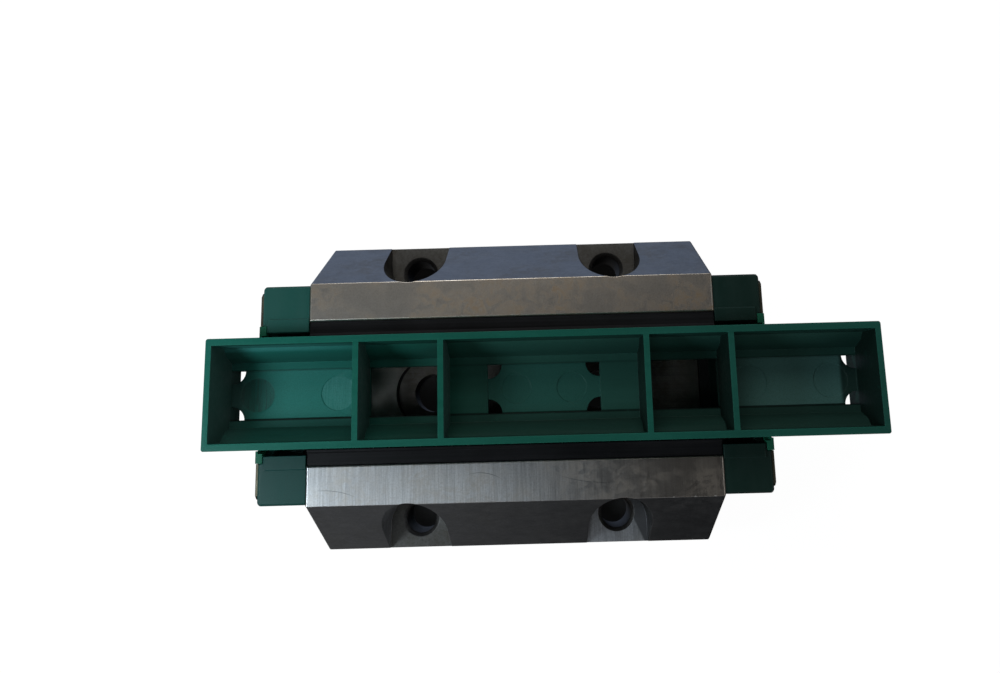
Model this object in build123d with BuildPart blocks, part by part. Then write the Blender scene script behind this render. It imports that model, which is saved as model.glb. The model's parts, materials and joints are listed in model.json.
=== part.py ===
from build123d import *
from math import sqrt
import os

# Flanged linear roller guide carriage, size class 25, with its transport rail inserted.
# Millimetres. X runs along the rail, Y across it, Z from the mounting face towards the rail base.

# Carriage body
carriage_height = 36.0          # mounting face to the rail's base plane
flange_width = 70.0
flange_edge = 11.2              # flange thickness at its outer edge
saddle_length = 87.2
lip_plane = 31.0                # height of the two lips beside the rail
lip_outer = 23.4                # half width over the lips
lip_inner = 15.15               # half width between the lips
ceiling = 10.0                  # thickness of the plate over the rail
ceiling_half = 13.6
root_two = sqrt(2)

# Fixing holes
hole_pitch_x = 45.0
hole_pitch_y = 57.0
thread_core = 3.4               # core radius of the M8 threads
thread_chamfer = 0.8
pocket_floor = 10.8
pocket_radius = 7.0
pocket_centre_y = 30.2
centre_pitch = 40.0
centre_clear = 4.5              # clearance radius for the M8 screws in the middle
centre_head = 8.5
centre_head_depth = 3.4

# Rail section, which the transport rail copies
rail_half = 11.5
waist_half = 8.2
rail_head_z = 12.0
flank_low = 18.1                # the flank near the base lies on z = y + flank_low
flank_high = 29.4               # the flank near the head lies on z = -y + flank_high

# Rollers and the tracks they run in
roller_radius = 1.6
roller_length = 4.2
roller_pitch = 3.36
rollers_per_row = 26
rail_gap = 0.3                  # the transport rail is undersize by this much at each flank
track_gap = 0.03
roller_y = 11.19
roller_low_z = 26.61
roller_high_z = 20.89
return_y = 19.2
return_low_z = 26.7
return_high_z = 19.6
return_bore = 3.25
tube_radius = 3.2
tube_slot_y = 3.5
tube_slot_z = 4.5

# End pieces
end_gap = 0.05
end_length = 10.2
end_half = 23.1
end_low = 0.6
end_high = 30.6
guide_thickness = 2.3
guide_half = 21.4
guide_low = 2.4
guide_high = 29.1
turn_radial = 3.8
turn_height = 4.6
pad_inner = 12.95
pad_outer = 15.8
pad_length = 8.7
pad_rise = 0.35
wiper_thickness = 1.45
wiper_recess = 1.0
plate_thickness = 0.6
plate_half = 21.8
port_radius = 2.5
port_z = 5.4
port_depth = 6.0
side_port_radius = 2.0
side_port_x = 49.4
side_port_depth = 6.0
screw_spots = [(8.6, 5.4), (19.9, 10.6), (-8.6, 5.4), (-19.9, 10.6)]
screw_radius = 1.25
screw_head_radius = 2.25
screw_head_height = 2.0
screw_seat = 50.9
screw_tip = 35.6

# Transport rail
rail_length = 140.4
rail_shift = 6.6                # how far it stands out of centre, towards +X
end_wall = 1.25
rim_inner = 10.05
facet_top = 29.5                # the inner wall leans in from here
facet_y = 8.35
facet_z = 28.0
ledge_half = 7.05
ledge_top = 24.6
pocket_half = 5.35
pocket_top = 23.9
web_under = 22.6
divider = 1.25
outer_divider = 39.0
inner_divider = 21.4
middle_pocket_half = 12.4
middle_corner_radius = 3.1
end_corner_radius = 2.9
middle_mark_radius = 3.3
middle_mark_reach = 6.1
end_mark_radius = 3.8
end_mark_reach = 8.9
mark_depth = 0.12
end_wall_low = 18.9             # the end walls stop here, a little under the web

saddle_end = saddle_length / 2
end_start = saddle_end + end_gap
end_face = saddle_end + end_length
guide_face = end_start + guide_thickness
turn_y = (roller_y + return_y) / 2
turn_radius = (return_y - roller_y) / 2
turn_levels = [(roller_low_z + return_low_z) / 2, (roller_high_z + return_high_z) / 2]
lower_track = flank_low - (rail_gap + 2 * roller_radius + track_gap) * root_two
upper_track = flank_high + (rail_gap + 2 * roller_radius + track_gap) * root_two


def both_sides(half):
    """Closes a half outline, listed from the centre line round to the centre line."""
    return half + [(-y, z) for y, z in reversed(half)]


def channel(gap, top):
    """Rail section grown by a gap and cut off at a height."""
    side = rail_half + gap
    waist = waist_half + gap
    low = flank_low - gap * root_two
    high = flank_high + gap * root_two
    return both_sides(
        [
            (side, top),
            (side, side + low),
            (waist, waist + low),
            (waist, high - waist),
            (side, high - side),
            (side, rail_head_z - gap),
        ]
    )


def prism(outline, start, length):
    """Adds to the open part a section in the YZ plane, drawn out along X."""
    with BuildSketch(Plane.YZ.offset(start)) as section:
        with BuildLine():
            Polyline(*outline, close=True)
        make_face()
    extrude(section.sketch, amount=length)


def cut_prism(outline, start, length):
    """Cuts a YZ section out of the open part."""
    with BuildSketch(Plane.YZ.offset(start)) as section:
        with BuildLine():
            Polyline(*outline, close=True)
        make_face()
    extrude(section.sketch, amount=length, mode=Mode.SUBTRACT)


tooth_tip = 11.0
track_end = roller_y + (roller_length / 2 + 0.35 + roller_radius + track_gap) / root_two
shoulder_z = roller_high_z - (roller_length / 2 + 0.35) / root_two
shoulder_z = shoulder_z + ceiling_half - (roller_y + (roller_length / 2 + 0.35) / root_two)

with BuildPart() as saddle_plate:
    prism(
        both_sides(
            [
                (flange_width / 2 - 0.7, 0),
                (flange_width / 2, 0.7),
                (flange_width / 2, flange_edge),
                (lip_outer, lip_plane),
                (lip_inner + 0.3, lip_plane),
                (lip_inner, lip_plane - 0.3),
                (lip_inner, lip_inner + lower_track),
                (tooth_tip, tooth_tip + lower_track),
                (tooth_tip, upper_track - tooth_tip),
                (track_end, upper_track - track_end),
                (ceiling_half, shoulder_z),
                (ceiling_half, ceiling + 0.6),
                (ceiling_half - 0.6, ceiling),
            ]
        ),
        -saddle_end,
        saddle_length,
    )
    for side in (-1, 1):
        face = saddle_plate.faces().sort_by(Axis.X)[0 if side < 0 else -1]
        rim = [e for e in face.outer_wire().edges() if abs((e @ 0.5).Y) > lip_inner + 0.2]
        chamfer(rim, length=0.35)
    with BuildSketch(Plane.XY.offset(pocket_floor)) as pockets:
        for sx in (-1, 1):
            for sy in (-1, 1):
                with Locations((sx * hole_pitch_x / 2, sy * pocket_centre_y)):
                    Circle(pocket_radius)
                with Locations((sx * hole_pitch_x / 2, sy * (pocket_centre_y + 5))):
                    Rectangle(2 * pocket_radius, 10)
    extrude(pockets.sketch, amount=lip_plane, mode=Mode.SUBTRACT)
    with BuildSketch(Plane.XY) as flange_holes:
        with GridLocations(hole_pitch_x, hole_pitch_y, 2, 2):
            Circle(thread_core)
    extrude(flange_holes.sketch, amount=pocket_floor, mode=Mode.SUBTRACT)
    for level, grow in ((0, 1), (pocket_floor, -1)):
        for x in (-hole_pitch_x / 2, hole_pitch_x / 2):
            for y in (-hole_pitch_y / 2, hole_pitch_y / 2):
                with Locations((x, y, level + grow * thread_chamfer / 2)):
                    Cone(
                        thread_core + (thread_chamfer if grow > 0 else 0),
                        thread_core + (0 if grow > 0 else thread_chamfer),
                        thread_chamfer,
                        mode=Mode.SUBTRACT,
                    )
    for x in (-centre_pitch / 2, centre_pitch / 2):
        with Locations((x, 0, ceiling / 2)):
            Cylinder(centre_clear, ceiling, mode=Mode.SUBTRACT)
        with Locations((x, 0, ceiling - centre_head_depth / 2)):
            Cylinder(centre_head, centre_head_depth, mode=Mode.SUBTRACT)
    with BuildSketch(Plane.YZ.offset(-saddle_end)) as return_bores:
        for sy in (-1, 1):
            with Locations((sy * return_y, return_low_z), (sy * return_y, return_high_z)):
                Circle(return_bore)
    extrude(return_bores.sketch, amount=saddle_length, mode=Mode.SUBTRACT)
    for side in (-1, 1):
        for y, z in screw_spots:
            with Locations(Location((side * (saddle_end - 4.2), y, z), (0, 90, 0))):
                Cylinder(screw_radius + 0.02, 8.4, mode=Mode.SUBTRACT)
saddle_plate.part.label = "saddle_plate"


def rectangle_outline(half, low, high, cut_low, cut_high):
    """Rectangle with cut corners, as wide as twice its half width."""
    return both_sides(
        [
            (half - cut_low, low),
            (half, low + cut_low),
            (half, high - cut_high),
            (half - cut_high, high),
        ]
    )


with BuildPart() as end_piece_right:
    prism(rectangle_outline(end_half, end_low, end_high, 2.0, 0.4), end_start, end_length - end_gap)
    front = end_piece_right.faces().sort_by(Axis.X)[-1]
    fillet(front.edges().filter_by(Axis.Z), radius=0.9)
    front = end_piece_right.faces().sort_by(Axis.X)[-1]
    chamfer(front.edges().filter_by(Axis.Y), length=0.4)
    for sy in (-1, 1):
        with Locations(
            (
                end_start + pad_length / 2,
                sy * (pad_inner + pad_outer) / 2,
                end_high - 0.2 + (pad_rise + 0.2) / 2,
            )
        ):
            Box(pad_length, pad_outer - pad_inner, pad_rise + 0.2)
    cut_prism(channel(1.45, end_high + 2), end_start - 1, end_length + 2)
    cut_prism(
        rectangle_outline(guide_half + 0.1, guide_low - 0.1, guide_high + 0.1, 1.5, 1.5),
        end_start - 1,
        1 + guide_thickness + 0.05,
    )
    cut_prism(channel(3.0, end_high + 2), end_face - wiper_recess, 2)
    for sy in (-1, 1):
        for level in turn_levels:
            with Locations((guide_face + 0.05, sy * turn_y, level)):
                Cylinder(turn_radius + turn_radial / 2, turn_height, mode=Mode.SUBTRACT)
    for y, z in screw_spots:
        with Locations(Location((end_start + 5, y, z), (0, 90, 0))):
            Cylinder(screw_radius + 0.15, 12, mode=Mode.SUBTRACT)
        with Locations(Location((screw_seat + 2, y, z), (0, 90, 0))):
            Cylinder(screw_head_radius + 0.25, 4, mode=Mode.SUBTRACT)
    with Locations(Location((end_face - port_depth / 2, 0, port_z), (0, 90, 0))):
        Cylinder(port_radius, port_depth, mode=Mode.SUBTRACT)
    with Locations(Location((end_face - port_depth, 0, port_z), (0, 90, 0))):
        Cylinder(1.2, 6, mode=Mode.SUBTRACT)
    for sy in (-1, 1):
        with Locations(Location((side_port_x, sy * (end_half - side_port_depth / 2), port_z), (90, 0, 0))):
            Cylinder(side_port_radius, side_port_depth, mode=Mode.SUBTRACT)
end_piece_right.part.label = "end_piece_right"

with BuildPart() as return_guide_right:
    prism(
        rectangle_outline(guide_half, guide_low, guide_high, 1.5, 1.5),
        end_start,
        guide_thickness,
    )
    for sy in (-1, 1):
        for level in turn_levels:
            with Locations((guide_face, sy * turn_y, level)):
                Cylinder(turn_radius - turn_radial / 2 - 0.25, turn_height - 0.2)
    cut_prism(channel(1.45, guide_high + 2), end_start - 1, guide_thickness + 5)
    for sy in (-1, 1):
        for level in turn_levels:
            for y in (roller_y, return_y):
                with Locations((end_start, sy * y, level)):
                    Box(2 * guide_thickness + 2, turn_radial, turn_height, mode=Mode.SUBTRACT)
    for y, z in screw_spots:
        with Locations(Location((end_start, y, z), (0, 90, 0))):
            Cylinder(screw_radius + 0.15, 2 * guide_thickness + 2, mode=Mode.SUBTRACT)
return_guide_right.part.label = "return_guide_right"

with BuildPart() as end_wiper_right:
    prism(
        channel(2.9, end_high + 0.15),
        end_face - wiper_recess + 0.05,
        wiper_thickness,
    )
    cut_prism(channel(0.9, end_high + 2), end_face - wiper_recess - 1, wiper_thickness + 3)
    prism(
        channel(1.1, end_high + 0.15),
        end_face - wiper_recess + 0.05 + wiper_thickness - 0.5,
        0.5,
    )
    cut_prism(channel(0.35, end_high + 2), end_face - wiper_recess - 1, wiper_thickness + 3)
end_wiper_right.part.label = "end_wiper_right"

with BuildPart() as wiper_plate_right:
    prism(rectangle_outline(plate_half, 3.0, 30.0, 2.0, 0.8), end_face, plate_thickness)
    plate_edges = wiper_plate_right.faces().sort_by(Axis.X)[-1].outer_wire().edges()
    chamfer(plate_edges, length=0.15)
    cut_prism(channel(3.0, 32), end_face - 1, plate_thickness + 2)
    for y, z in screw_spots:
        with Locations(Location((end_face, y, z), (0, 90, 0))):
            Cylinder(screw_head_radius + 0.35, 4, mode=Mode.SUBTRACT)
    with Locations(Location((end_face, 0, port_z), (0, 90, 0))):
        Cylinder(port_radius + 0.7, 4, mode=Mode.SUBTRACT)
wiper_plate_right.part.label = "wiper_plate_right"

with BuildPart() as end_screws_right:
    for y, z in screw_spots:
        with Locations(Location(((screw_seat + screw_tip) / 2, y, z), (0, 90, 0))):
            Cylinder(screw_radius, screw_seat - screw_tip)
        with Locations(Location((screw_seat + screw_head_height / 2, y, z), (0, 90, 0))):
            Cylinder(screw_head_radius, screw_head_height)
        with BuildSketch(Plane.YZ.offset(screw_seat + screw_head_height)) as socket:
            with Locations((y, z)):
                RegularPolygon(radius=1.15, side_count=6)
        extrude(socket.sketch, amount=-1.2, mode=Mode.SUBTRACT)
end_screws_right.part.label = "end_screws_right"

with BuildPart() as side_plugs_right:
    for sy in (-1, 1):
        with Locations(Location((side_port_x, sy * (end_half - 2.7), port_z), (90, 0, 0))):
            Cylinder(side_port_radius - 0.03, 4.4)
        with BuildSketch(Plane.XZ.offset(-sy * (end_half - 0.5))) as socket:
            with Locations((side_port_x, port_z)):
                RegularPolygon(radius=1.15, side_count=6)
        extrude(socket.sketch, amount=sy * 1.6, mode=Mode.SUBTRACT)
side_plugs_right.part.label = "side_plugs_right"

strip_end = saddle_end - 0.1
roller_face = 2 * roller_y + (roller_low_z - roller_y) + (roller_length / 2 + 0.25) * root_two

with BuildPart() as lower_seal_rear:
    face_start = (roller_face - lower_track - 0.06) / 2
    prism(
        [
            (face_start, roller_face - face_start),
            (lip_inner - 0.08, lip_inner - 0.08 + lower_track + 0.06),
            (lip_inner - 0.08, lip_plane - 0.45),
            (12.6, lip_plane - 0.45),
            (12.3, lip_plane - 0.15),
            (11.85, lip_plane - 0.15),
            (11.85, lip_plane - 0.75),
            (12.2, lip_plane - 1.1),
            (12.2, roller_face - 12.2),
        ],
        -strip_end,
        2 * strip_end,
    )
lower_seal_rear.part.label = "lower_seal_rear"

upper_face = roller_high_z - roller_y - (roller_length / 2 + 0.25) * root_two

with BuildPart() as upper_seal_rear:
    prism(
        [
            (12.0, ceiling + 0.1),
            (ceiling_half - 0.7, ceiling + 0.1),
            (ceiling_half - 0.08, ceiling + 0.75),
            (ceiling_half - 0.08, ceiling_half - 0.08 + upper_face),
            (12.0, 12.0 + upper_face),
        ],
        -strip_end,
        2 * strip_end,
    )
upper_seal_rear.part.label = "upper_seal_rear"

wedge_low = roller_high_z - roller_y + (roller_length / 2 + 0.2) * root_two
wedge_high = roller_low_z + roller_y - (roller_length / 2 + 0.2) * root_two
strip_z = (wedge_low + wedge_high) / 2

with BuildPart() as roller_strip_rear:
    prism(
        [
            (8.7, 8.7 + wedge_low),
            ((wedge_high - wedge_low) / 2 - 0.25, strip_z - 0.25),
            (tooth_tip - 0.05, strip_z - 0.25),
            (tooth_tip - 0.05, strip_z + 0.25),
            ((wedge_high - wedge_low) / 2 - 0.25, strip_z + 0.25),
            (8.7, wedge_high - 8.7),
        ],
        -strip_end,
        2 * strip_end,
    )
roller_strip_rear.part.label = "roller_strip_rear"

row_positions = [(i - (rollers_per_row - 1) / 2) * roller_pitch for i in range(rollers_per_row)]

with BuildPart() as load_rollers_low_rear:
    for x in row_positions:
        with Locations(Location((x, roller_y, roller_low_z), (-45, 0, 0))):
            Cylinder(roller_radius, roller_length)
load_rollers_low_rear.part.label = "load_rollers_low_rear"

with BuildPart() as load_rollers_high_rear:
    for x in row_positions:
        with Locations(Location((x, roller_y, roller_high_z), (45, 0, 0))):
            Cylinder(roller_radius, roller_length)
load_rollers_high_rear.part.label = "load_rollers_high_rear"

with BuildPart() as return_rollers_low_rear:
    for x in row_positions:
        with Locations((x, return_y, return_low_z)):
            Cylinder(roller_radius, roller_length)
return_rollers_low_rear.part.label = "return_rollers_low_rear"

with BuildPart() as return_rollers_high_rear:
    for x in row_positions:
        with Locations((x, return_y, return_high_z)):
            Cylinder(roller_radius, roller_length)
return_rollers_high_rear.part.label = "return_rollers_high_rear"

with BuildPart() as return_tube_low_rear:
    with BuildSketch(Plane.YZ.offset(-saddle_end)) as tube:
        with Locations((return_y, return_low_z)):
            Circle(tube_radius)
            Rectangle(tube_slot_y, tube_slot_z, mode=Mode.SUBTRACT)
    extrude(tube.sketch, amount=saddle_length)
return_tube_low_rear.part.label = "return_tube_low_rear"

with BuildPart() as return_tube_high_rear:
    with BuildSketch(Plane.YZ.offset(-saddle_end)) as tube:
        with Locations((return_y, return_high_z)):
            Circle(tube_radius)
            Rectangle(tube_slot_y, tube_slot_z, mode=Mode.SUBTRACT)
    extrude(tube.sketch, amount=saddle_length)
return_tube_high_rear.part.label = "return_tube_high_rear"


def cell_outline(bottom):
    """Inside of the transport rail between its rim and a floor level."""
    return both_sides(
        [
            (rim_inner, carriage_height + 1),
            (rim_inner - 0.05, facet_top),
            (facet_y, facet_z),
            (ledge_half, bottom),
        ]
    )


cell_starts = [
    -rail_length / 2 + end_wall,
    -outer_divider + divider / 2,
    -inner_divider + divider / 2,
    inner_divider + divider / 2,
    outer_divider + divider / 2,
]
cell_ends = [
    -outer_divider - divider / 2,
    -inner_divider - divider / 2,
    inner_divider - divider / 2,
    outer_divider - divider / 2,
    rail_length / 2 - end_wall,
]

with BuildPart() as dummy_rail:
    prism(channel(0, carriage_height), rail_shift - rail_length / 2, rail_length)
    for start, finish in zip(cell_starts, cell_ends):
        cut_prism(cell_outline(ledge_top), rail_shift + start, finish - start)
    cut_prism(
        both_sides(
            [
                (ledge_half - 0.15, web_under),
                (ledge_half - 0.15, 20.6),
                (rim_inner - 0.05, 17.4),
                (rim_inner - 0.05, rail_head_z - 1),
            ]
        ),
        rail_shift - rail_length / 2 + end_wall,
        rail_length - 2 * end_wall,
    )
    for x in (-rail_length / 2, rail_length / 2 - end_wall):
        cut_prism(
            [
                (ledge_half - 0.15, end_wall_low),
                (ledge_half - 0.15, rail_head_z - 1),
                (0.15 - ledge_half, rail_head_z - 1),
                (0.15 - ledge_half, end_wall_low),
            ],
            rail_shift + x,
            end_wall,
        )
    sunken = [
        (cell_starts[0], cell_ends[0]),
        (-middle_pocket_half, middle_pocket_half),
        (cell_starts[4], cell_ends[4]),
    ]
    for start, finish in sunken:
        with Locations((rail_shift + (start + finish) / 2, 0, pocket_top + 0.5)):
            Box(finish - start, 2 * pocket_half, 1.0, mode=Mode.SUBTRACT)
        middle = finish - start < 27
        corner = middle_corner_radius if middle else end_corner_radius
        mark = middle_mark_radius if middle else end_mark_radius
        reach = middle_mark_reach if middle else end_mark_reach
        with BuildSketch(Plane.XY.offset(web_under - 0.5)) as corners:
            for x in (start, finish):
                for y in (-pocket_half, pocket_half):
                    with Locations((rail_shift + x, y)):
                        Circle(corner)
            with Locations((rail_shift + (start + finish) / 2, 0)):
                Rectangle(finish - start, 2 * pocket_half, mode=Mode.INTERSECT)
        extrude(corners.sketch, amount=3, mode=Mode.SUBTRACT)
        for x in (-reach, reach):
            with Locations((rail_shift + (start + finish) / 2 + x, 0, pocket_top)):
                Cylinder(mark, 2 * mark_depth, mode=Mode.SUBTRACT)
    for start, finish in ((cell_starts[1], cell_ends[1]), (cell_starts[3], cell_ends[3])):
        with Locations((rail_shift + (start + finish) / 2, 0, (ledge_top + web_under) / 2)):
            Box(finish - start, 2 * pocket_half, 4, mode=Mode.SUBTRACT)
    ends = dummy_rail.edges().filter_by(Axis.Z)
    fillet([e for e in ends if abs((e @ 0.5).Y) > rail_half - 0.1], radius=0.5)
dummy_rail.part.label = "dummy_rail"

with BuildPart() as end_piece_left:
    mirror(end_piece_right.part, about=Plane.YZ)
end_piece_left.part.label = "end_piece_left"

with BuildPart() as return_guide_left:
    mirror(return_guide_right.part, about=Plane.YZ)
return_guide_left.part.label = "return_guide_left"

with BuildPart() as end_wiper_left:
    mirror(end_wiper_right.part, about=Plane.YZ)
end_wiper_left.part.label = "end_wiper_left"

with BuildPart() as wiper_plate_left:
    mirror(wiper_plate_right.part, about=Plane.YZ)
wiper_plate_left.part.label = "wiper_plate_left"

with BuildPart() as end_screws_left:
    mirror(end_screws_right.part, about=Plane.YZ)
end_screws_left.part.label = "end_screws_left"

with BuildPart() as side_plugs_left:
    mirror(side_plugs_right.part, about=Plane.YZ)
side_plugs_left.part.label = "side_plugs_left"

with BuildPart() as lower_seal_front:
    mirror(lower_seal_rear.part, about=Plane.XZ)
lower_seal_front.part.label = "lower_seal_front"

with BuildPart() as upper_seal_front:
    mirror(upper_seal_rear.part, about=Plane.XZ)
upper_seal_front.part.label = "upper_seal_front"

with BuildPart() as roller_strip_front:
    mirror(roller_strip_rear.part, about=Plane.XZ)
roller_strip_front.part.label = "roller_strip_front"

with BuildPart() as load_rollers_low_front:
    mirror(load_rollers_low_rear.part, about=Plane.XZ)
load_rollers_low_front.part.label = "load_rollers_low_front"

with BuildPart() as load_rollers_high_front:
    mirror(load_rollers_high_rear.part, about=Plane.XZ)
load_rollers_high_front.part.label = "load_rollers_high_front"

with BuildPart() as return_rollers_low_front:
    mirror(return_rollers_low_rear.part, about=Plane.XZ)
return_rollers_low_front.part.label = "return_rollers_low_front"

with BuildPart() as return_rollers_high_front:
    mirror(return_rollers_high_rear.part, about=Plane.XZ)
return_rollers_high_front.part.label = "return_rollers_high_front"

with BuildPart() as return_tube_low_front:
    mirror(return_tube_low_rear.part, about=Plane.XZ)
return_tube_low_front.part.label = "return_tube_low_front"

with BuildPart() as return_tube_high_front:
    mirror(return_tube_high_rear.part, about=Plane.XZ)
return_tube_high_front.part.label = "return_tube_high_front"

os.makedirs("parts", exist_ok=True)
export_step(saddle_plate.part, "parts/saddle_plate.step")
export_step(end_piece_left.part, "parts/end_piece_left.step")
export_step(end_piece_right.part, "parts/end_piece_right.step")
export_step(return_guide_left.part, "parts/return_guide_left.step")
export_step(return_guide_right.part, "parts/return_guide_right.step")
export_step(end_wiper_left.part, "parts/end_wiper_left.step")
export_step(end_wiper_right.part, "parts/end_wiper_right.step")
export_step(wiper_plate_left.part, "parts/wiper_plate_left.step")
export_step(wiper_plate_right.part, "parts/wiper_plate_right.step")
export_step(end_screws_left.part, "parts/end_screws_left.step")
export_step(end_screws_right.part, "parts/end_screws_right.step")
export_step(side_plugs_left.part, "parts/side_plugs_left.step")
export_step(side_plugs_right.part, "parts/side_plugs_right.step")
export_step(lower_seal_front.part, "parts/lower_seal_front.step")
export_step(lower_seal_rear.part, "parts/lower_seal_rear.step")
export_step(upper_seal_front.part, "parts/upper_seal_front.step")
export_step(upper_seal_rear.part, "parts/upper_seal_rear.step")
export_step(roller_strip_front.part, "parts/roller_strip_front.step")
export_step(roller_strip_rear.part, "parts/roller_strip_rear.step")
export_step(load_rollers_low_front.part, "parts/load_rollers_low_front.step")
export_step(load_rollers_low_rear.part, "parts/load_rollers_low_rear.step")
export_step(load_rollers_high_front.part, "parts/load_rollers_high_front.step")
export_step(load_rollers_high_rear.part, "parts/load_rollers_high_rear.step")
export_step(return_rollers_low_front.part, "parts/return_rollers_low_front.step")
export_step(return_rollers_low_rear.part, "parts/return_rollers_low_rear.step")
export_step(return_rollers_high_front.part, "parts/return_rollers_high_front.step")
export_step(return_rollers_high_rear.part, "parts/return_rollers_high_rear.step")
export_step(return_tube_low_front.part, "parts/return_tube_low_front.step")
export_step(return_tube_low_rear.part, "parts/return_tube_low_rear.step")
export_step(return_tube_high_front.part, "parts/return_tube_high_front.step")
export_step(return_tube_high_rear.part, "parts/return_tube_high_rear.step")
export_step(dummy_rail.part, "parts/dummy_rail.step")
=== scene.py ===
import json
import math

import bmesh
import bpy
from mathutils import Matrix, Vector

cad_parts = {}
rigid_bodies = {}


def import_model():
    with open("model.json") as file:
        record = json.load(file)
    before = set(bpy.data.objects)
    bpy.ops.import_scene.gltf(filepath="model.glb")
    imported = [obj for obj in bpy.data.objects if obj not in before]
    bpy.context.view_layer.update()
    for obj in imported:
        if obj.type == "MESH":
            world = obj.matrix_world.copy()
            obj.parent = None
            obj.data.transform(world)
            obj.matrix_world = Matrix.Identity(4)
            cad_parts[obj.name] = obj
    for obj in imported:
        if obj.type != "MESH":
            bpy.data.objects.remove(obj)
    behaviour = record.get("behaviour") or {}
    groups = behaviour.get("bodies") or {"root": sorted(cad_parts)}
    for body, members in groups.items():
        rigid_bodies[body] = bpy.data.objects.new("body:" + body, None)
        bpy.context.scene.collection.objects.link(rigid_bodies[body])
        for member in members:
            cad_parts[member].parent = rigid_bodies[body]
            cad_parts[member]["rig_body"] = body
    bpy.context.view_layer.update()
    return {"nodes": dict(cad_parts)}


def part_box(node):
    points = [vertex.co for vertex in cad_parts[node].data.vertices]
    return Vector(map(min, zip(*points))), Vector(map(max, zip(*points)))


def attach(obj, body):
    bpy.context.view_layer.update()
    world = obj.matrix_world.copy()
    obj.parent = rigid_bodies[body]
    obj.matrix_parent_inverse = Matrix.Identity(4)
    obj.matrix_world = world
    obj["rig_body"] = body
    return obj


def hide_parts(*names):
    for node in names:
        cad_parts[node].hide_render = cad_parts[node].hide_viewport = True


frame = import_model()
scene = bpy.context.scene
MM = 0.001

# Sizes that the materials and pieces below are placed by, in metres
saddle_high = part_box("saddle_plate")[1]
STEEL_END = saddle_high.x
STEEL_SIDE = saddle_high.y
LIP_TOP = saddle_high.z
POCKET_FLOOR = 10.8 * MM
FLANGE_HOLE_X = 22.5 * MM
FLANGE_HOLE_Y = 28.5 * MM
FLANGE_HOLE_REACH = 4.3 * MM            # hole radius with its chamfer, and a little over
CENTRE_HOLE_X = 20.0 * MM
CENTRE_HOLE_REACH = 9.0 * MM            # counterbore radius, and a little over
CHANNEL_HALF = 15.4 * MM
SLOPE_NORMAL_Y = 0.863                  # how far the flange slopes face sideways

rail_low, rail_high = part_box("dummy_rail")
RAIL_MIDDLE = (rail_low.x + rail_high.x) / 2
RAIL_HALF = (rail_high.x - rail_low.x) / 2
RIM = rail_high.z
CELL_FLOOR = 23.9 * MM                  # level of the three sunken cell floors
CELL_LEDGE = 24.6 * MM                  # level of the ledges beside them
FLOOR_HALF = 5.35 * MM                  # half the width of a sunken floor


# Camera: close above the part, leaning a little towards its front side
camera_data = bpy.data.cameras.new("camera")
camera_data.sensor_width = 36.0
camera_data.lens = 28.07
camera_data.shift_x = -0.0359
camera_data.shift_y = -0.0574
camera_data.clip_start = 0.01
camera_data.clip_end = 20.0
camera = bpy.data.objects.new("camera", camera_data)
camera.location = (0.00551, -0.00591, 0.19754)
camera.rotation_euler = [math.radians(a) for a in (9.886, 0.294, -1.517)]
scene.collection.objects.link(camera)
scene.camera = camera
scene.view_settings.view_transform = "Standard"
scene.view_settings.look = "None"


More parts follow.
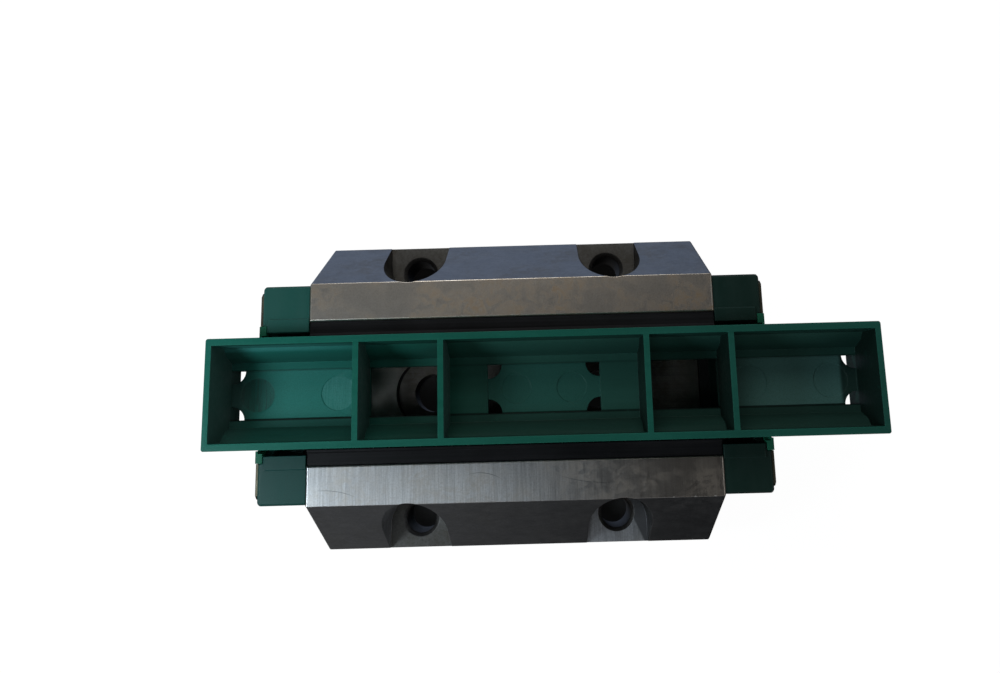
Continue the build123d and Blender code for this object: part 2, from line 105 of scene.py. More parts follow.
# Small helpers for shader nodes
class Shader:
    """A material whose nodes are made by short calls that return an output socket."""

    def __init__(self, name):
        self.material = bpy.data.materials.new(name)
        self.material.use_nodes = True
        self.tree = self.material.node_tree
        self.bsdf = self.tree.nodes["Principled BSDF"]
        coordinates = self.add("ShaderNodeTexCoord")
        self.place = coordinates.outputs["Object"]
        self.facing = coordinates.outputs["Normal"]

    def add(self, kind, **settings):
        """A new node of this kind."""
        node = self.tree.nodes.new(kind)
        for key, value in settings.items():
            setattr(node, key, value)
        return node

    def join(self, value, socket):
        """Link an output to a socket, or set the socket to a plain value."""
        if isinstance(value, bpy.types.NodeSocket):
            self.tree.links.new(value, socket)
        else:
            socket.default_value = value

    def parts(self, vector):
        """The three parts of a vector."""
        split = self.add("ShaderNodeSeparateXYZ")
        self.join(vector, split.inputs[0])
        return split.outputs["X"], split.outputs["Y"], split.outputs["Z"]

    def noise(self, scale, detail=4.0, rough=0.55, warp=0.0, offset=0.0, turn=0.0):
        """Noise in the object's own metres. scale is features per metre, one number or one per axis."""
        if isinstance(scale, (int, float)):
            scale = (scale, scale, scale)
        mapping = self.add("ShaderNodeMapping")
        self.join(self.place, mapping.inputs["Vector"])
        mapping.inputs["Scale"].default_value = scale
        mapping.inputs["Location"].default_value = (offset, offset * 0.7, offset * 1.3)
        mapping.inputs["Rotation"].default_value = (0.0, 0.0, math.radians(turn))
        node = self.add("ShaderNodeTexNoise")
        self.join(mapping.outputs["Vector"], node.inputs["Vector"])
        node.inputs["Scale"].default_value = 1.0
        node.inputs["Detail"].default_value = detail
        node.inputs["Roughness"].default_value = rough
        node.inputs["Distortion"].default_value = warp
        return node.outputs["Fac"]

    def math(self, operation, a, b=0.0):
        node = self.add("ShaderNodeMath", operation=operation)
        self.join(a, node.inputs[0])
        self.join(b, node.inputs[1])
        return node.outputs[0]

    def product(self, *values):
        total = values[0]
        for value in values[1:]:
            total = self.math("MULTIPLY", total, value)
        return total

    def tint(self, colour, tone, *shares):
        """The colour moved towards a tone by the product of the shares."""
        return self.mix(self.product(*shares), colour, tone)

    def strongest(self, values):
        total = values[0]
        for value in values[1:]:
            total = self.math("MAXIMUM", total, value)
        return total

    def band(self, value, low, high, out_low=0.0, out_high=1.0):
        """Soft step: out_low where value is at low, out_high where it is at high."""
        node = self.add("ShaderNodeMapRange", interpolation_type="SMOOTHSTEP")
        self.join(value, node.inputs["Value"])
        node.inputs["From Min"].default_value = low
        node.inputs["From Max"].default_value = high
        node.inputs["To Min"].default_value = out_low
        node.inputs["To Max"].default_value = out_high
        return node.outputs["Result"]

    def mix(self, factor, a, b):
        """Colour a where the factor is nought, and b where it is one."""
        node = self.add("ShaderNodeMix", data_type="RGBA")
        self.join(factor, node.inputs[0])
        self.join(a if isinstance(a, bpy.types.NodeSocket) else (*a, 1.0), node.inputs[6])
        self.join(b if isinstance(b, bpy.types.NodeSocket) else (*b, 1.0), node.inputs[7])
        return node.outputs[2]

    def away(self, point, flat=False):
        """Distance from a point, or from the upright line through it."""
        place = self.place
        if flat:
            level = self.add("ShaderNodeVectorMath", operation="MULTIPLY")
            self.join(place, level.inputs[0])
            level.inputs[1].default_value = (1.0, 1.0, 0.0)
            place = level.outputs["Vector"]
        node = self.add("ShaderNodeVectorMath", operation="DISTANCE")
        self.join(place, node.inputs[0])
        node.inputs[1].default_value = point
        return node.outputs["Value"]

    def arc(self, centre, radius, middle, reach):
        """Fine scratch along part of a circle, strongest at its middle point. Sizes in mm."""
        to_centre = self.away([v * MM for v in (*centre, 0.0)], flat=True)
        to_middle = self.away([v * MM for v in (*middle, 0.0)], flat=True)
        off_circle = self.math("ABSOLUTE", self.math("SUBTRACT", to_centre, radius * MM))
        line = self.band(off_circle, 0.10 * MM, 0.03 * MM)
        return self.product(line, self.band(to_middle, reach * MM, 0.3 * reach * MM))

    def edges(self, radius):
        """One along worn edges and nought on flat surface."""
        bevel = self.add("ShaderNodeBevel", samples=4)
        bevel.inputs["Radius"].default_value = radius
        flat = self.add("ShaderNodeNewGeometry").outputs["Normal"]
        dot = self.add("ShaderNodeVectorMath", operation="DOT_PRODUCT")
        self.join(bevel.outputs["Normal"], dot.inputs[0])
        self.join(flat, dot.inputs[1])
        return self.band(dot.outputs["Value"], 0.99, 0.90)

    def bump(self, height, depth, strength, after=None):
        """Surface normal of a relief of this depth, laid over an earlier one if there is one."""
        node = self.add("ShaderNodeBump")
        node.inputs["Strength"].default_value = strength
        node.inputs["Distance"].default_value = depth
        self.join(height, node.inputs["Height"])
        if after is not None:
            self.join(after, node.inputs["Normal"])
        return node.outputs["Normal"]

    def finish(self, colour, roughness, normal, **fixed):
        """The material, with its three varying inputs joined and the fixed ones set."""
        self.join(colour, self.bsdf.inputs["Base Color"])
        self.join(roughness, self.bsdf.inputs["Roughness"])
        self.join(normal, self.bsdf.inputs["Normal"])
        for key, value in fixed.items():
            self.bsdf.inputs[key].default_value = value
        return self.material


BARE_METAL = (0.95, 0.94, 0.90)
BROWN = (0.32, 0.275, 0.225)


def steel(name, light, dark, stain, lay, rough, stain_share=0.5, scratch=1.0, edge=0.5, marks=None):
    """Machined steel. lay is the noise scale along each axis, small along the tool marks."""
    s = Shader(name)
    fine = s.noise(lay, detail=5.0, rough=0.7)
    coarse = s.noise(tuple(v * 0.3 for v in lay), detail=2.0, offset=3.0)
    lines = s.math("ADD", s.math("MULTIPLY", fine, 0.65), s.math("MULTIPLY", coarse, 0.35))
    clouds = s.noise(75.0, detail=5.0, rough=0.6, warp=0.6, offset=11.0)
    spots = s.noise(420.0, detail=6.0, rough=0.65, warp=1.0, offset=5.0)
    speck = s.noise(2600.0, detail=3.0, rough=0.7, offset=8.0)
    colour = s.mix(s.band(lines, 0.36, 0.64), dark, light)
    stained = s.product(s.band(clouds, 0.38, 0.66), s.band(spots, 0.35, 0.62))
    colour = s.tint(colour, stain, stained, stain_share)
    colour = s.tint(colour, [v * 0.62 for v in dark], s.band(speck, 0.42, 0.70, 0.0, 0.35))
    colour = s.tint(colour, [min(1.0, v * 1.5 + 0.08) for v in light], s.edges(0.3 * MM), edge)
    roughness = s.math("ADD", s.band(lines, 0.3, 0.7, rough - 0.08 * scratch, rough + 0.08 * scratch),
                       s.math("MULTIPLY", stained, 0.12))
    # Scratches and other marks, and on some parts painted shade
    if marks is not None:
        colour = marks(s, colour, [v * 0.45 for v in dark])
    normal = s.bump(lines, 0.004 * MM * scratch, 0.9)
    normal = s.bump(spots, 0.0008 * MM, 0.6, after=normal)
    return s.finish(colour, roughness, normal, Metallic=1.0)


# Scratches on the front lip, in mm: centre and radius of the curve, middle and reach of the scratch
SCRATCHES = (
    ((-40.0, -37.0), 16.8, (-37.2, -20.4), 5.2),
    ((-7.5, -26.2), 8.8, (-6.2, -17.6), 4.2),
    ((19.0, 10.0), 30.0, (15.0, -19.7), 7.0),
)
NICKS_X = (32.7 * MM, 37.2 * MM, 41.3 * MM)
LIP_OUTER_EDGE = -23.4 * MM


def lip_marks_and_painted_shade(s, colour, shade):
    """A browner, darker right end, partly brown stain and partly painted shade where the light falls off,
    three curved scratches, and three bright nicks on the outer edge.
    """
    # Painted shade towards the right end, mixed with a brown stain
    colour = s.tint(colour, BROWN, s.band(s.parts(s.place)[0], -5 * MM, 40 * MM, 0.0, 0.75))
    colour = s.tint(colour, shade, s.strongest([s.arc(*scratch) for scratch in SCRATCHES]), 0.9)
    nicks = s.strongest([
        s.band(s.away((x, LIP_OUTER_EDGE, LIP_TOP)), 0.32 * MM, 0.16 * MM) for x in NICKS_X
    ])
    return s.tint(colour, BARE_METAL, nicks, 0.9)


def channel_bare_patch_and_painted_shade(s, colour, shade):
    """Brighter steel left of the first centre hole; painted shade in the counterbores, in the middle and
    towards the right.
    """
    along, _, height = s.parts(s.place)
    right = s.band(along, 36.5 * MM, 43 * MM, 0.0, 0.7)
    counterbore = s.band(height, 9.0 * MM, 8.0 * MM, 0.0, 0.45)
    middle = s.band(s.math("ABSOLUTE", along), 11 * MM, 8 * MM, 0.0, 0.8)
    # Painted shade in the counterbores, in the middle and towards the right
    colour = s.tint(colour, shade, s.strongest([right, counterbore, middle]))
    return s.tint(colour, BARE_METAL, s.band(along, -26 * MM, -29.5 * MM, 0.0, 0.55))


def slope_painted_shade(s, colour, shade):
    """Painted shade: the front slope darkens towards the right, where the light falls off."""
    along, across, _ = s.parts(s.place)
    front = s.band(across, 5 * MM, -5 * MM)
    # Painted shade, growing towards the right
    return s.tint(colour, shade, s.band(along, -25 * MM, 30 * MM, 0.0, 0.33), front)


def pocket_painted_shadow(s, colour, shade):
    """Painted shadow to the right of the hole in the front right pocket, along a slanting line."""
    along, across, _ = s.parts(s.place)
    slanting = s.math("ADD", along, s.math("MULTIPLY", across, 0.45))
    # Painted shadow beside the hole
    return s.tint(colour, shade, s.band(slanting, 12.7 * MM, 13.3 * MM, 0.0, 0.95))


def rail_painted_light_and_sheen(s, colour):
    """Painted light on the transport rail: paler at its left end, most deep down, where the light falls
    strongest; painted shade darkening it towards its right end; and a greyer painted sheen below the rim
    from the middle rightwards.
    """
    along, _, height = s.parts(s.place)
    # Painted shade towards the right end
    colour = s.tint(colour, (0.026, 0.072, 0.064), s.band(along, -30 * MM, 70 * MM), 0.40)
    # Painted light at the left end, strongest deep down
    lower = s.band(height, RIM - 2 * MM, RIM - 9 * MM, 0.2, 0.6)
    colour = s.tint(colour, (0.018, 0.200, 0.165), s.band(along, -15 * MM, -45 * MM), lower)
    # Painted sheen below the rim, from the middle rightwards
    inside = s.band(height, RIM - 1 * MM, RIM - 5 * MM)
    return s.tint(colour, (0.048, 0.092, 0.080), inside, s.band(along, -35 * MM, 0.0, 0.0, 0.40))


def rail_walls_painted_shade_and_sheen(s, colour):
    """Painted shade and sheen on the walls: steep walls are darker, the front side most where the front
    wall's shadow falls, the left end darker, and a painted sheen high on the rear wall at the left.
    """
    along, across, height = s.parts(s.place)
    lift = s.parts(s.facing)[2]
    inside = s.band(height, RIM - 1 * MM, RIM - 5 * MM)
    # Painted shade on steep walls
    colour = s.tint(colour, (0.016, 0.052, 0.043), s.band(lift, 0.85, 0.40), 0.50)
    # Painted shadow on the front side below the rim
    front = s.band(across, 0.05 * MM - FLOOR_HALF, -0.35 * MM - FLOOR_HALF, 0.0, 0.45)
    colour = s.tint(colour, (0.012, 0.022, 0.018), inside, front)
    # Painted shade at the left end, below the rim
    left_end = s.band(along, -55 * MM, -62 * MM, 0.0, 0.6)
    colour = s.tint(colour, (0.030, 0.080, 0.072), inside, left_end)
    # Painted sheen high on the rear wall at the left
    rear = s.band(across, 8.9 * MM, 9.6 * MM)
    high = s.band(height, RIM - 1.5 * MM, RIM - 3 * MM)
    return s.tint(colour, (0.050, 0.260, 0.235), rear, high, s.band(along, -20 * MM, -50 * MM, 0.0, 0.7))


# Painted light along the sunken floors: darker to the right as the light falls off, a paler painted sheen
# in the right cell, and painted shadows by both end walls. In mm: where each starts and is complete, and
# the tone
FLOOR_PAINTED_LIGHT = (
    (-30.0, -5.0, (0.026, 0.115, 0.092)),
    (25.0, 40.0, (0.030, 0.075, 0.060)),
    (42.0, 59.0, (0.105, 0.245, 0.225)),
    (71.6, 72.6, (0.022, 0.050, 0.043)),
    (-56.0, -61.0, (0.034, 0.085, 0.076)),
)
# The left floor's tone, painted as brightly lit; the others start from it
LEFT_FLOOR_LIT_TONE = (0.031, 0.235, 0.195)
# Ejector marks on the cell floors: middle and radius in mm, tone, and how much of it shows
EJECTOR_MARKS = (
    (-38.8, 3.8, (0.065, 0.300, 0.260), 0.9),
    (-56.6, 3.8, (0.040, 0.090, 0.078), 0.7),
    (0.5, 3.3, (0.024, 0.105, 0.083), 0.5),
    (12.7, 3.3, (0.030, 0.125, 0.100), 0.5),
)


def rail_floors_painted_light_and_marks(s, colour):
    """Sunken cell floors, painted paler at the left and darker to the right, with painted shadows by the
    end walls, ejector marks, and a painted shade line at each side, strongest at the front.
    """
    along, across, height = s.parts(s.place)
    off_middle = s.math("ABSOLUTE", across)
    level = s.product(s.band(height, CELL_LEDGE - 0.15 * MM, CELL_LEDGE - 0.4 * MM),
                      s.band(height, CELL_FLOOR - 0.3 * MM, CELL_FLOOR - 0.15 * MM))
    floor = s.product(level, s.band(off_middle, FLOOR_HALF + 0.15 * MM, FLOOR_HALF - 0.05 * MM))
    # Painted light and shadow along the floors
    tone = LEFT_FLOOR_LIT_TONE
    for start, finish, next_tone in FLOOR_PAINTED_LIGHT:
        tone = s.tint(tone, next_tone, s.band(along, start * MM, finish * MM))
    colour = s.tint(colour, tone, floor, 0.9)
    stripes = s.band(s.noise((3400, 260, 900), detail=3.0, turn=40.0), 0.35, 0.65, 0.45, 1.0)
    for x, radius, mark_tone, share in EJECTOR_MARKS:
        disc = s.band(s.away((x * MM, 0.0, 0.0), True), radius * MM, (radius - 0.25) * MM)
        colour = s.tint(colour, mark_tone, disc, floor, share, stripes)
    # A painted shade line where each floor meets its ledge, strongest at the front
    off_edge = s.math("ABSOLUTE", s.math("SUBTRACT", off_middle, FLOOR_HALF))
    line = s.product(s.band(off_edge, 0.34 * MM, 0.14 * MM),
                     s.band(height, CELL_LEDGE + 0.6 * MM, CELL_LEDGE + 0.3 * MM))
    return s.tint(colour, (0.004, 0.014, 0.011), line, s.band(across, 3 * MM, -3 * MM, 0.30, 0.92))


def rail_cross_walls_painted_light(s, colour):
    """Painted light and shade inside the rail: cross walls that face right are painted pale grey as if lit,
    and those that face left are painted dark as if in shade.
    """
    along, _, height = s.parts(s.place)
    nose = s.parts(s.facing)[0]
    off_middle = s.math("ABSOLUTE", s.math("SUBTRACT", along, RAIL_MIDDLE))
    within = s.product(s.band(off_middle, RAIL_HALF - 0.3 * MM, RAIL_HALF - 0.7 * MM),
                       s.band(height, CELL_LEDGE - 0.4 * MM, CELL_LEDGE - 0.1 * MM))
    # Painted light on cross walls facing right, painted shade on those facing left
    colour = s.tint(colour, (0.055, 0.122, 0.110), within, s.band(nose, 0.6, 0.9, 0.0, 0.85))
    return s.tint(colour, (0.006, 0.011, 0.009), within, s.band(nose, -0.6, -0.9, 0.0, 0.9))


def rail_painted_light_and_marks(s, colour):
    """Tone of the transport rail from place to place: painted light, shade and sheen, and ejector marks."""
    for layer in (rail_painted_light_and_sheen, rail_walls_painted_shade_and_sheen, rail_floors_painted_light_and_marks, rail_cross_walls_painted_light):
        colour = layer(s, colour)
    return colour


def end_painted_light(s, colour):
    """Painted light and shade on the end pieces: the left one is painted paler than the right one, and
    palest at its rear; the right one is painted darker.
    """
    along, across, _ = s.parts(s.place)
    left = s.band(along, -20 * MM, -50 * MM, 0.0, 0.6)
    # Painted light on the left end piece
    colour = s.tint(colour, (0.013, 0.080, 0.070), left)
    colour = s.tint(colour, (0.024, 0.125, 0.102), left, s.band(across, 0.0, 8 * MM))
    # Painted shade on the right end piece
    return s.tint(colour, (0.009, 0.018, 0.013), s.band(along, 20 * MM, 50 * MM, 0.0, 0.7))


def plastic(name, deep, pale, flow, rough, grain=0.004, edge=0.45, specular=0.3, tones=None, wear_from=0.0):
    """Moulded plastic: soft colour drift, flow lines along X, a fine grain in mm and paler edges."""
    s = Shader(name)
    drift = s.noise(45.0, detail=3.0, offset=2.0)
    lines = s.noise(flow, detail=4.0, rough=0.6, warp=0.3, offset=7.0)
    speck = s.noise(5200.0, detail=2.0)
    rub = s.noise(520.0, detail=5.0, rough=0.7, warp=1.2, offset=4.0)
    blend = s.math("ADD", s.math("MULTIPLY", drift, 0.6), s.math("MULTIPLY", lines, 0.4))
    colour = s.mix(s.band(blend, 0.35, 0.66), deep, pale)
    rubbed = s.product(s.edges(0.22 * MM), s.band(rub, 0.25, 0.65, 0.35, 1.0))
    high = s.band(s.parts(s.place)[2], wear_from - 1.0 * MM, wear_from)
    # Painted light and shade from place to place, where given
    if tones is not None:
        colour = tones(s, colour)
    colour = s.tint(colour, [v * 0.4 for v in deep], s.band(speck, 0.40, 0.70, 0.0, 0.22))
    colour = s.tint(colour, [min(1.0, v * 1.9 + 0.008) for v in pale], rubbed, high, edge)
    colour = s.tint(colour, [v * 1.5 + 0.005 for v in pale], s.band(rub, 0.55, 0.8), 0.16)
    roughness = s.math("ADD", s.band(lines, 0.3, 0.7, rough - 0.06, rough + 0.07),
                       s.band(rub, 0.45, 0.8, 0.0, 0.08))
    normal = s.bump(speck, grain * MM, 0.7)
    normal = s.bump(lines, 0.012 * MM, 0.5, after=normal)
    return s.finish(colour, roughness, normal, **{"Specular IOR Level": specular})


# The materials. Steel tones are light, dark and stain; lay and flow are in features per metre
lip_front = steel(
    "steel_lip_front", light=(0.68, 0.695, 0.71), dark=(0.45, 0.46, 0.47), stain=(0.42, 0.36, 0.28),
    lay=(7000, 160, 900), rough=0.34, stain_share=0.4, scratch=0.25, edge=0.3, marks=lip_marks_and_painted_shade)
lip_rear = steel(
    "steel_lip_rear", light=(0.76, 0.71, 0.64), dark=(0.70, 0.65, 0.58), stain=(0.44, 0.33, 0.215),
    lay=(2600, 1500, 1500), rough=0.34, stain_share=0.95, scratch=0.05, edge=0.03)
slope = steel(
    "steel_slope", light=(0.42, 0.43, 0.45), dark=(0.34, 0.35, 0.37), stain=(0.22, 0.20, 0.17),
    lay=(700, 1400, 1400), rough=0.38, stain_share=0.4, scratch=0.3, edge=0.08, marks=slope_painted_shade)
ends = steel(
    "steel_end", light=(0.38, 0.38, 0.38), dark=(0.30, 0.30, 0.31), stain=(0.20, 0.17, 0.13),
    lay=(900, 90, 4200), rough=0.36, stain_share=0.4, scratch=0.5, edge=0.3)
# Pocket steel in three copies: a dark floor copy and a darker wall copy with painted shade, and a pale copy
# with painted light
pocket_floor_shaded_copy = steel(
    "steel_pocket", light=(0.155, 0.153, 0.148), dark=(0.11, 0.108, 0.10), stain=(0.09, 0.075, 0.05),
    lay=(1500, 1500, 3600), rough=0.55, scratch=0.6, edge=0.2)
pocket_lit_copy = steel(
    "steel_pocket_bright", light=(0.56, 0.58, 0.61), dark=(0.34, 0.35, 0.37), stain=(0.22, 0.20, 0.15),
    lay=(2600, 150, 2600), rough=0.55, stain_share=0.3, scratch=0.6, edge=0.2, marks=pocket_painted_shadow)
pocket_wall_shaded_copy = steel(
    "steel_pocket_wall", light=(0.11, 0.112, 0.11), dark=(0.07, 0.07, 0.066), stain=(0.05, 0.044, 0.034),
    lay=(1500, 1500, 3600), rough=0.40, scratch=0.6, edge=0.1)
base = steel(
    "steel_base", light=(0.56, 0.56, 0.56), dark=(0.46, 0.46, 0.46), stain=(0.30, 0.25, 0.19),
    lay=(120, 5200, 900), rough=0.28, stain_share=0.3, scratch=0.5, edge=0.4)
channel = steel(
    "steel_channel", light=(0.46, 0.43, 0.39), dark=(0.31, 0.29, 0.26), stain=(0.20, 0.145, 0.09),
    lay=(90, 3200, 3200), rough=0.45, stain_share=0.6, scratch=0.5, edge=0.3, marks=channel_bare_patch_and_painted_shade)
# Bores of the holes, painted dark as the shade inside them
bore_painted_shade = steel(
    "steel_bore", light=(0.17, 0.165, 0.16), dark=(0.10, 0.097, 0.094), stain=(0.07, 0.055, 0.04),
    lay=(1800, 1800, 5200), rough=0.55, stain_share=0.4, scratch=0.5, edge=0.1)
backing = steel(
    "steel_backing", light=(0.15, 0.145, 0.105), dark=(0.10, 0.095, 0.07), stain=(0.09, 0.07, 0.035),
    lay=(300, 180, 2600), rough=0.42, stain_share=0.4, scratch=0.5, edge=0.15)
screw = steel(
    "steel_screw", light=(0.30, 0.30, 0.31), dark=(0.16, 0.16, 0.17), stain=(0.10, 0.08, 0.06),
    lay=(2400, 2400, 2400), rough=0.33, stain_share=0.3, scratch=0.5)
roller = steel(
    "steel_roller", light=(0.72, 0.72, 0.73), dark=(0.58, 0.58, 0.59), stain=(0.4, 0.36, 0.3),
    lay=(500, 500, 500), rough=0.16, stain_share=0.1, scratch=0.3, edge=0.3)

rail_green = plastic(
    "plastic_rail", deep=(0.0055, 0.098, 0.067), pale=(0.0080, 0.126, 0.089),
    flow=(40, 700, 700), rough=0.40, specular=0.15, tones=rail_painted_light_and_marks, wear_from=RIM - 2 * MM)
end_green = plastic(
    "plastic_end", deep=(0.0062, 0.041, 0.035), pale=(0.0085, 0.052, 0.045),
    flow=(300, 60, 300), rough=0.42, specular=0.2, tones=end_painted_light)
guide_dark = plastic(
    "plastic_guide", deep=(0.020, 0.021, 0.021), pale=(0.032, 0.033, 0.033),
    flow=(80, 500, 500), rough=0.45)
lip_green = plastic(
    "rubber_wiper", deep=(0.007, 0.110, 0.060), pale=(0.010, 0.150, 0.085),
    flow=(200, 90, 90), rough=0.5, grain=0.006, specular=0.25)
seal_black = plastic(
    "rubber_seal", deep=(0.0050, 0.0054, 0.0064), pale=(0.0150, 0.0155, 0.0175),
    flow=(20, 2600, 2600), rough=0.5, grain=0.006, edge=0.15, specular=0.14)


# Pieces made from the CAD solids: welded, shaded smooth, sharp edges rounded
WELD = 0.0015 * MM
SHARP = math.radians(28.0)


def refined(node, materials, width, surface=None):
    """A node's solid with its edges rounded to a width. surface gives the material of each face."""
    source = frame["nodes"][node]
    work = bmesh.new()
    work.from_mesh(source.data)
    bmesh.ops.remove_doubles(work, verts=work.verts, dist=WELD)
    mesh = bpy.data.meshes.new(node + "_shown")
    if surface is not None:
        work.normal_update()
        for face in work.faces:
            face.material_index = materials.index(surface(face))
    work.to_mesh(mesh)
    work.free()
    for material in materials:
        mesh.materials.append(material)
    piece = bpy.data.objects.new(node + "_shown", mesh)
    scene.collection.objects.link(piece)
    for polygon in mesh.polygons:
        polygon.use_smooth = True
    mesh.set_sharp_from_angle(angle=SHARP)
    bevel = piece.modifiers.new("edges", "BEVEL")
    bevel.width = width
    bevel.segments = 2
    bevel.limit_method = "ANGLE"
    bevel.angle_limit = SHARP
    bevel.use_clamp_overlap = False
    bevel.loop_slide = False
    weighted = piece.modifiers.new("normals", "WEIGHTED_NORMAL")
    weighted.keep_sharp = False
    weighted.weight = 100
    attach(piece, source["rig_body"])
    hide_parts(node)
    return piece


def saddle_surface(face):
    """Material of one face of the saddle plate, from its place and the way it faces."""
    c = face.calc_center_median()
    n = face.normal
    to_flange_hole = math.hypot(abs(c.x) - FLANGE_HOLE_X, abs(c.y) - FLANGE_HOLE_Y)
    to_centre_hole = math.hypot(abs(c.x) - CENTRE_HOLE_X, c.y)
    upright = abs(n.z) < 0.8
    if c.z < POCKET_FLOOR - 0.05 * MM and to_flange_hole < FLANGE_HOLE_REACH and upright:
        return bore_painted_shade
    if c.z > LIP_TOP - 0.4 * MM and n.z > 0.7:
        return lip_front if c.y < 0 else lip_rear
    if abs(n.x) > 0.9 and abs(abs(c.x) - STEEL_END) < 0.5 * MM:
        return ends
    if n.z < -0.7 and c.z < 0.7 * MM:
        return base
    if upright and to_centre_hole < CENTRE_HOLE_REACH:
        return bore_painted_shade
    if abs(c.y) < CHANNEL_HALF:
        return channel
    if abs(abs(n.y) - SLOPE_NORMAL_Y) < 0.05 and n.z > 0.4:
        return slope
    # The front right pocket floor and the front left pocket walls take the pale copy with painted light;
    # the other floors and walls take the copies with painted shade
    if n.z > 0.9 and abs(c.z - POCKET_FLOOR) < 0.2 * MM:
        return pocket_lit_copy if c.x > 0 > c.y else pocket_floor_shaded_copy
    if abs(n.z) < 0.1 and c.z > POCKET_FLOOR + 0.1 * MM:
        return pocket_lit_copy if c.x < 0 and c.y < 0 else pocket_wall_shaded_copy
    if abs(c.y) > STEEL_SIDE - 1.0 * MM:
        return ends
    return channel


saddle_steels = [lip_front, lip_rear, slope, ends, pocket_floor_shaded_copy, pocket_wall_shaded_copy, base, channel, bore_painted_shade,
                 pocket_lit_copy]
saddle = refined("saddle_plate", saddle_steels, 0.12 * MM, surface=saddle_surface)
rail = refined("dummy_rail", [rail_green], 0.09 * MM)
for side in ("left", "right"):
    refined("end_piece_" + side, [end_green], 0.14 * MM)
    refined("end_wiper_" + side, [lip_green], 0.06 * MM)
    refined("wiper_plate_" + side, [backing], 0.05 * MM)
for side in ("front", "rear"):
    refined("lower_seal_" + side, [seal_black], 0.08 * MM)

# The small and hidden pieces keep their CAD mesh
MATERIAL_OF = {
    "return_guide": guide_dark,
    "end_screws": screw,
    "side_plugs": screw,
    "upper_seal": seal_black,
    "roller_strip": guide_dark,
    "load_rollers": roller,
    "return_rollers": roller,
    "return_tube": guide_dark,
}
for name, node in frame["nodes"].items():
    for prefix, material in MATERIAL_OF.items():
        if name.startswith(prefix):
            node.data.materials.clear()
            node.data.materials.append(material)


# Floor and backdrop: pale and even but for a painted shadow on the floor under the part, and not seen in
# the part's own reflections
PALE = (0.97, 0.97, 0.97)
FLOOR_RADIUS = 2.5
BACKDROP_RADIUS = 2.4
FOOTPRINT = ((42.5, 33.5), (52.0, 20.0))    # half sizes of two boxes under the part, in mm
FOOTPRINT_GLOW = 0.0018


def glow(name, diffuse):
    """A pale surface that lights itself."""
    s = Shader(name)
    s.bsdf.inputs["Base Color"].default_value = (diffuse, diffuse, diffuse, 1.0)
    s.bsdf.inputs["Roughness"].default_value = 0.9
    s.bsdf.inputs["Specular IOR Level"].default_value = 0.0
    s.bsdf.inputs["Emission Color"].default_value = (*PALE, 1.0)
    s.bsdf.inputs["Emission Strength"].default_value = 1.0
    return s


def stage_piece(name, work, material):
    """An object from a bmesh, for the stage around the part."""
    mesh = bpy.data.meshes.new(name)
    work.to_mesh(mesh)
    work.free()
    mesh.materials.append(material)
    piece = bpy.data.objects.new(name, mesh)
    scene.collection.objects.link(piece)
    return piece


def footprint_shade(s):
    """Painted shadow under the part: one outside the part's own footprint, and the small glow that is left
    well inside it.
    """
    along, across, _ = s.parts(s.place)
    shade = s.strongest([
        s.product(*(
            s.band(s.math("ABSOLUTE", part), half * MM, (half - 1.0) * MM)
            for part, half in zip((along, across), box)
        ))
        for box in FOOTPRINT
    ])
    return s.math("MAXIMUM", s.math("SUBTRACT", 1.0, shade), FOOTPRINT_GLOW)


floor_shader = glow("floor_pale", diffuse=0.12)
floor_shader.join(footprint_shade(floor_shader), floor_shader.bsdf.inputs["Emission Strength"])
work = bmesh.new()
bmesh.ops.create_circle(work, cap_ends=True, radius=FLOOR_RADIUS, segments=96)
floor = stage_piece("floor", work, floor_shader.material)
floor.location.z = -0.02 * MM
floor.visible_glossy = False
work = bmesh.new()
bmesh.ops.create_uvsphere(work, u_segments=64, v_segments=32, radius=BACKDROP_RADIUS)
backdrop = stage_piece("backdrop", work, glow("backdrop_pale", diffuse=0.0).material)
for flag in ("visible_diffuse", "visible_glossy", "visible_transmission", "visible_shadow"):
    setattr(backdrop, flag, False)


# Light: a dim room with soft patches of brightness, and soft lamps
# Each patch has a direction, the cosine where it fades out, and a colour
ROOM = (
    ((0.0, 0.0, 1.0), -0.9, (0.010, 0.010, 0.011)),
    ((-0.4, 0.85, -0.35), 0.20, (0.19, 0.235, 0.325)),
    ((-1.0, -0.7, -0.3), 0.30, (0.12, 0.12, 0.12)),
    ((0.87, -0.05, 0.46), 0.80, (0.36, 0.36, 0.36)),
    ((0.10, -0.87, 0.48), 0.80, (0.30, 0.30, 0.30)),
    ((0.0, 0.87, 0.48), 0.80, (0.30, 0.30, 0.30)),
    ((-0.87, 0.1, 0.48), 0.85, (0.20, 0.20, 0.20)),
)
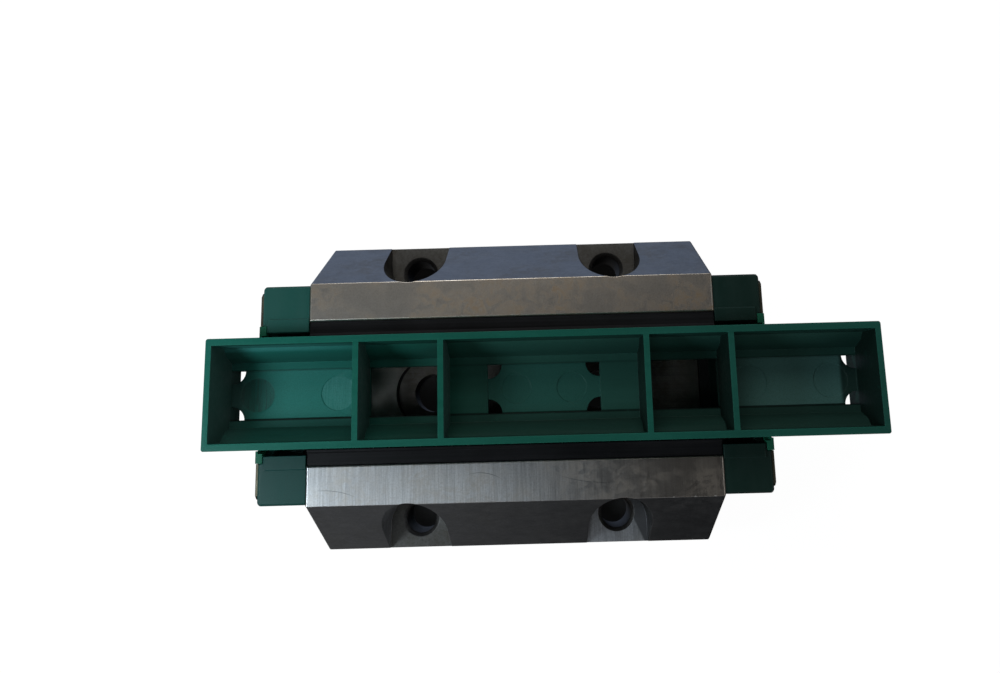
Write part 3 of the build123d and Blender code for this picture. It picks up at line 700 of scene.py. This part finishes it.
# Each lamp has a place and a size in metres, a power in watts, and a colour
LAMPS = {
    "lamp_left": ((-0.125, -0.045, 0.13), 0.05, 0.106, (0.81, 0.92, 1.0)),
    "lamp_glint": ((-0.06, -0.08, 0.26), 0.08, 0.03, (0.86, 0.95, 1.0)),
    "lamp_right": ((0.22, -0.06, 0.18), 0.12, 0.03, (0.97, 0.98, 1.0)),
    "lamp_rear": ((-0.02, 0.28, 0.28), 0.20, 0.36, (1.0, 0.97, 0.92)),
}
LAMP_TARGET = Vector((0.0, 0.0, 30 * MM))


def room_light():
    """The world: a sum of soft patches, each strongest in its own direction."""
    world = bpy.data.worlds.new("room")
    world.use_nodes = True
    tree = world.node_tree
    ray = tree.nodes.new("ShaderNodeTexCoord").outputs["Generated"]
    total = None
    for direction, fade_out, colour in ROOM:
        towards = tree.nodes.new("ShaderNodeVectorMath")
        towards.operation = "DOT_PRODUCT"
        tree.links.new(ray, towards.inputs[0])
        towards.inputs[1].default_value = Vector(direction).normalized()
        fade = tree.nodes.new("ShaderNodeMapRange")
        fade.interpolation_type = "SMOOTHSTEP"
        tree.links.new(towards.outputs["Value"], fade.inputs["Value"])
        fade.inputs["From Min"].default_value = fade_out
        patch = tree.nodes.new("ShaderNodeVectorMath")
        patch.operation = "SCALE"
        patch.inputs[0].default_value = colour
        tree.links.new(fade.outputs["Result"], patch.inputs["Scale"])
        if total is None:
            total = patch.outputs["Vector"]
        else:
            both = tree.nodes.new("ShaderNodeVectorMath")
            tree.links.new(total, both.inputs[0])
            tree.links.new(patch.outputs["Vector"], both.inputs[1])
            total = both.outputs["Vector"]
    tree.links.new(total, tree.nodes["Background"].inputs["Color"])
    return world


scene.world = room_light()
for name, (place, size, power, colour) in LAMPS.items():
    data = bpy.data.lights.new(name, "AREA")
    data.size = size
    data.energy = power
    data.color = colour
    lamp = bpy.data.objects.new(name, data)
    lamp.location = place
    aim = LAMP_TARGET - Vector(place)
    lamp.rotation_euler = aim.to_track_quat("-Z", "Y").to_euler()
    lamp.visible_camera = False
    scene.collection.objects.link(lamp)
